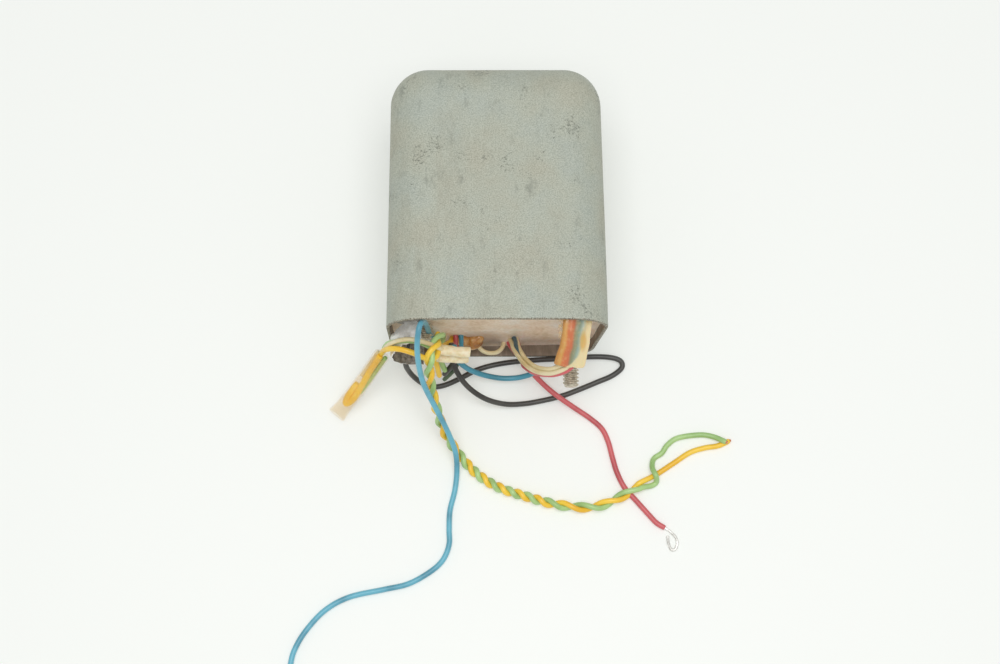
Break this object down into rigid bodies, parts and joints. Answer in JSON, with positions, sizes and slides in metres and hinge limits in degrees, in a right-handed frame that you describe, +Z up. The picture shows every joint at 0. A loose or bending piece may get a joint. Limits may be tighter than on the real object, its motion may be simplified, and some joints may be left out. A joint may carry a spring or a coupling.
{
  "type": "potted transformer with flying leads",
  "caption": "Small resin-potted transformer in a drawn steel can with rounded corners, with a threaded fixing stud and flexible flying leads at its open end.",
  "frame": {"origin": "middle of the can and its stud, on the surface that the can lies on", "axes": "+X across the can, +Y along the can towards its closed end, +Z up through its depth"},
  "size_m": [0.1298, 0.1855, 0.046],
  "materials": {
    "can": "matte grey-green stove enamel, slight orange peel",
    "potting_resin": "cast resin, matte, pinkish beige",
    "core_steel": "stamped silicon steel sheets",
    "bobbin_plastic": "moulded",
    "copper_wire": "enamelled copper wire in layers",
    "insulating_tape": "varnished paper",
    "plain_steel": "pressed, bare",
    "stud_steel": "plated, dull and yellowed",
    "tinned_metal": "tinned, crumpled",
    "wax": "hard brown glue",
    "amber_sleeve": "aged translucent sleeve, glossy",
    "clear_sleeve": "aged clear sleeve, glossy",
    "cream_sleeve": "soft cream sleeve",
    "cream_insulation": "thin insulation",
    "blue_insulation": "flexible, satin",
    "teal_insulation": "flexible, satin",
    "black_insulation": "flexible, satin",
    "red_insulation": "flexible, satin",
    "yellow_insulation": "flexible, satin",
    "green_insulation": "flexible, satin",
    "dark_green_insulation": "flexible, satin",
    "dark_blue_insulation": "flexible, satin"
  },
  "bodies": {
    "root": {"can": "can", "potting_compound": "potting_resin", "e_laminations": "core_steel", "i_laminations": "core_steel", "bobbin": "bobbin_plastic", "primary_winding": "copper_wire", "interlayer_insulation": "insulating_tape", "secondary_winding": "copper_wire", "outer_wrap": "insulating_tape", "clamp_frame": "plain_steel", "stud_bracket": "plain_steel", "stud_heads": "plain_steel", "mounting_stud": "stud_steel", "cut_stud": "stud_steel", "tinned_strip": "tinned_metal", "wax_blob": "wax", "wide_sleeve": "amber_sleeve", "cream_sleeve_upper": "cream_sleeve", "cream_sleeve_lower": "cream_sleeve", "blue_lead": "blue_insulation", "blue_lead_bare_end": "tinned_metal", "black_lead": "black_insulation", "teal_link": "teal_insulation", "red_lead": "red_insulation", "red_lead_eye": "tinned_metal", "twisted_pair": "yellow_insulation", "yellow_tail": "yellow_insulation", "green_tail": "green_insulation", "clear_sleeve": "clear_sleeve", "yellow_fold": "yellow_insulation", "green_fold": "green_insulation", "cream_arch": "cream_insulation", "cream_loop": "cream_insulation", "bundle_cream_left": "cream_insulation", "bundle_cream_right": "cream_insulation", "bundle_red": "red_insulation", "bundle_dark_blue": "dark_blue_insulation", "yellow_stub": "yellow_insulation", "green_stub": "green_insulation", "black_stub": "black_insulation", "dark_green_stub": "dark_green_insulation", "green_riser": "green_insulation", "yellow_riser": "yellow_insulation"}
  },
  "joints": []
}
